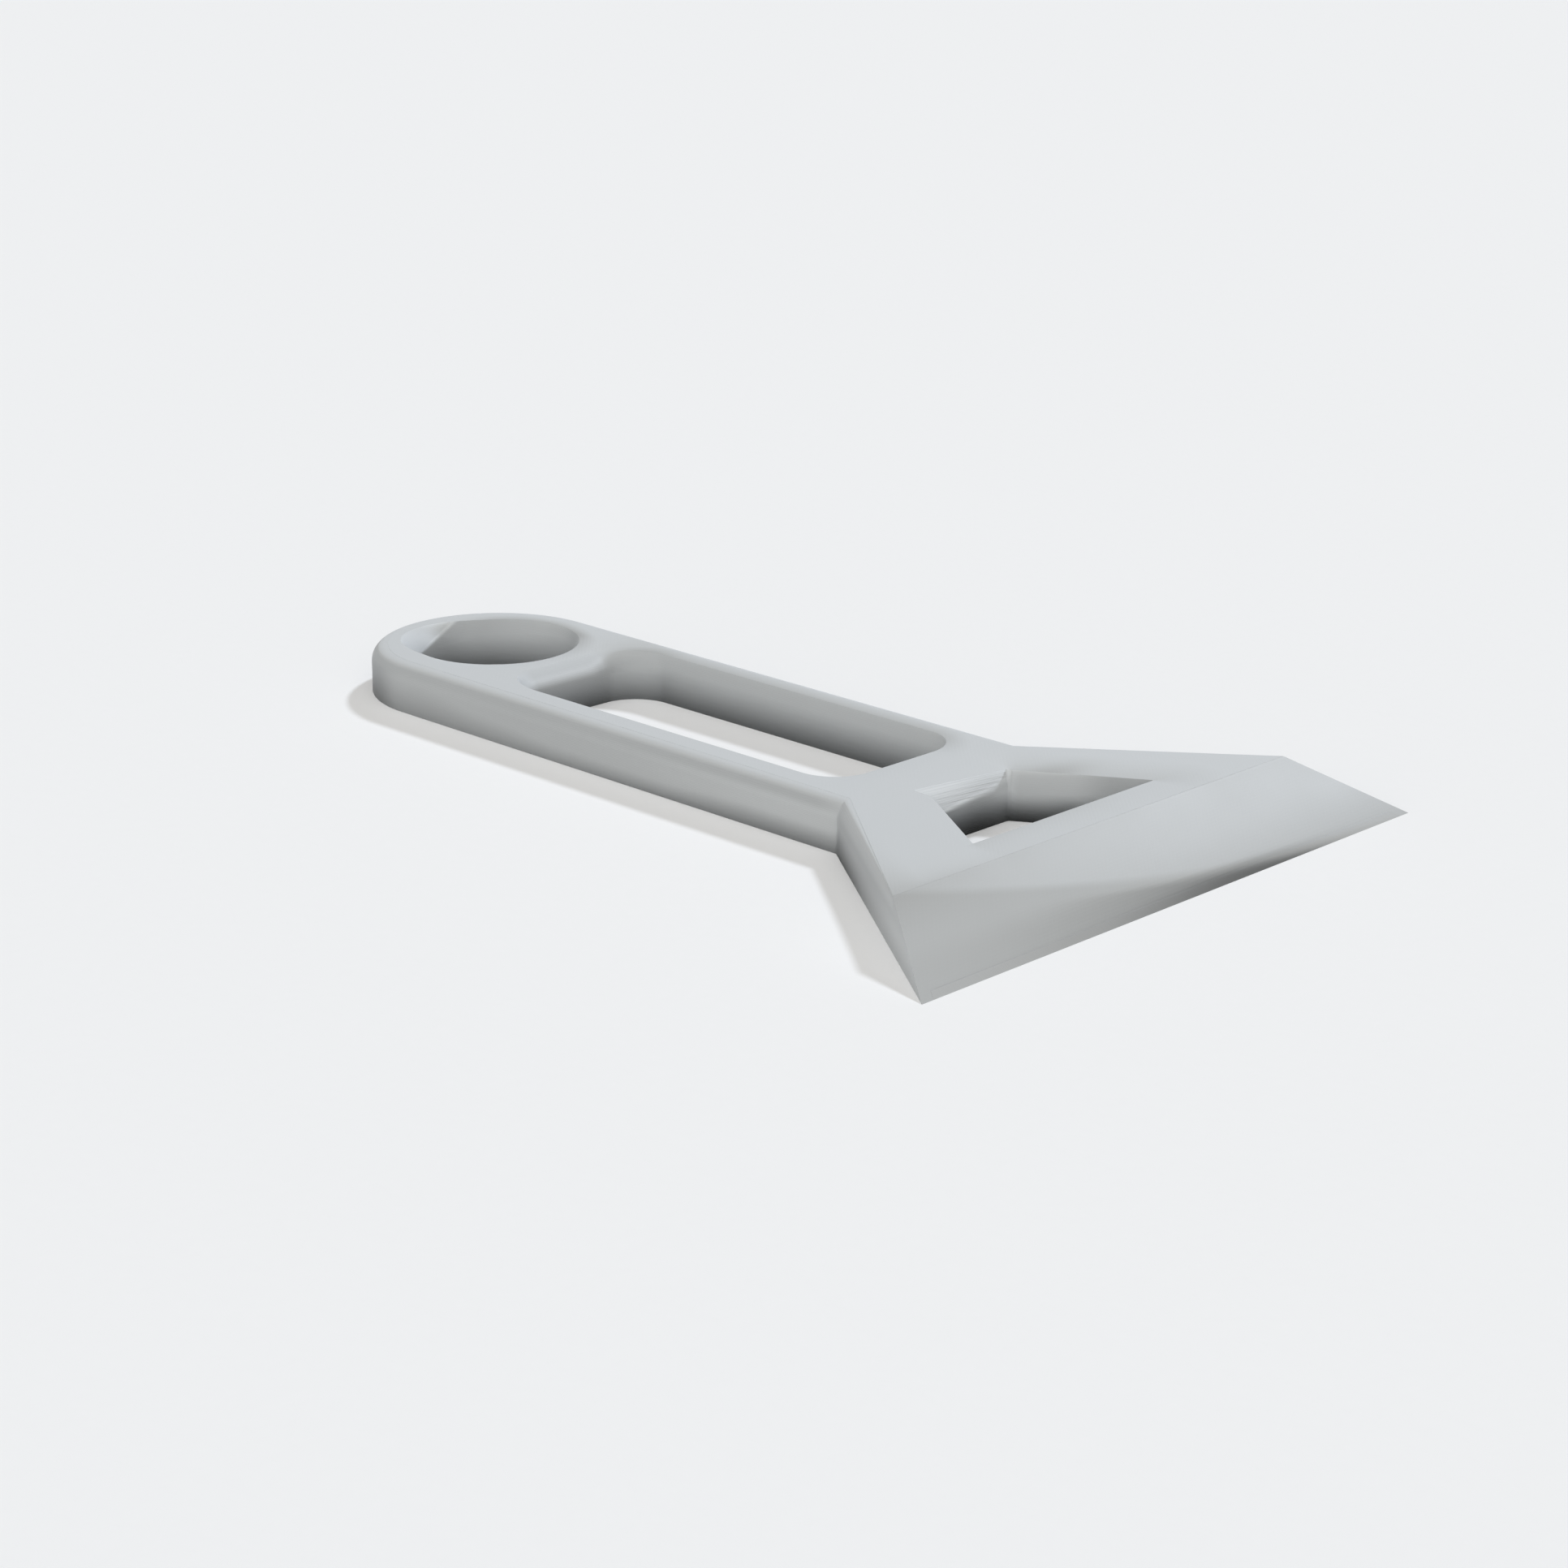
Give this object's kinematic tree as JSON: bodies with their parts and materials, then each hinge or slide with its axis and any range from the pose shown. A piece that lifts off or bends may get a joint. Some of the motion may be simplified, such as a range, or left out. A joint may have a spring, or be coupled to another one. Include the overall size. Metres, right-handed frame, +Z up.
{
  "type": "printer bed scraper",
  "caption": "Flat printed scraper with a slotted handle, a hang hole, a flared windowed head and a screwed-on steel blade for lifting prints off a printer bed.",
  "frame": {"origin": "on the resting plane, under the centre of the whole tool's outline", "axes": "+X along the tool from the handle to the cutting edge, +Z up from the flat underside, +Y to the left seen from the handle"},
  "size_m": [0.1212, 0.0804, 0.0058],
  "materials": {
    "printed_plastic": "matte light grey, fine printed layers",
    "blade_steel": "satin, ground along its bevel",
    "screw_steel": "satin",
    "insert_brass": "machined"
  },
  "bodies": {
    "root": {"scraper_body": "printed_plastic", "scraper_blade": "blade_steel", "blade_screw_left": "screw_steel", "blade_screw_middle": "screw_steel", "blade_screw_right": "screw_steel", "threaded_insert_left": "insert_brass", "threaded_insert_middle": "insert_brass", "threaded_insert_right": "insert_brass"}
  },
  "joints": []
}
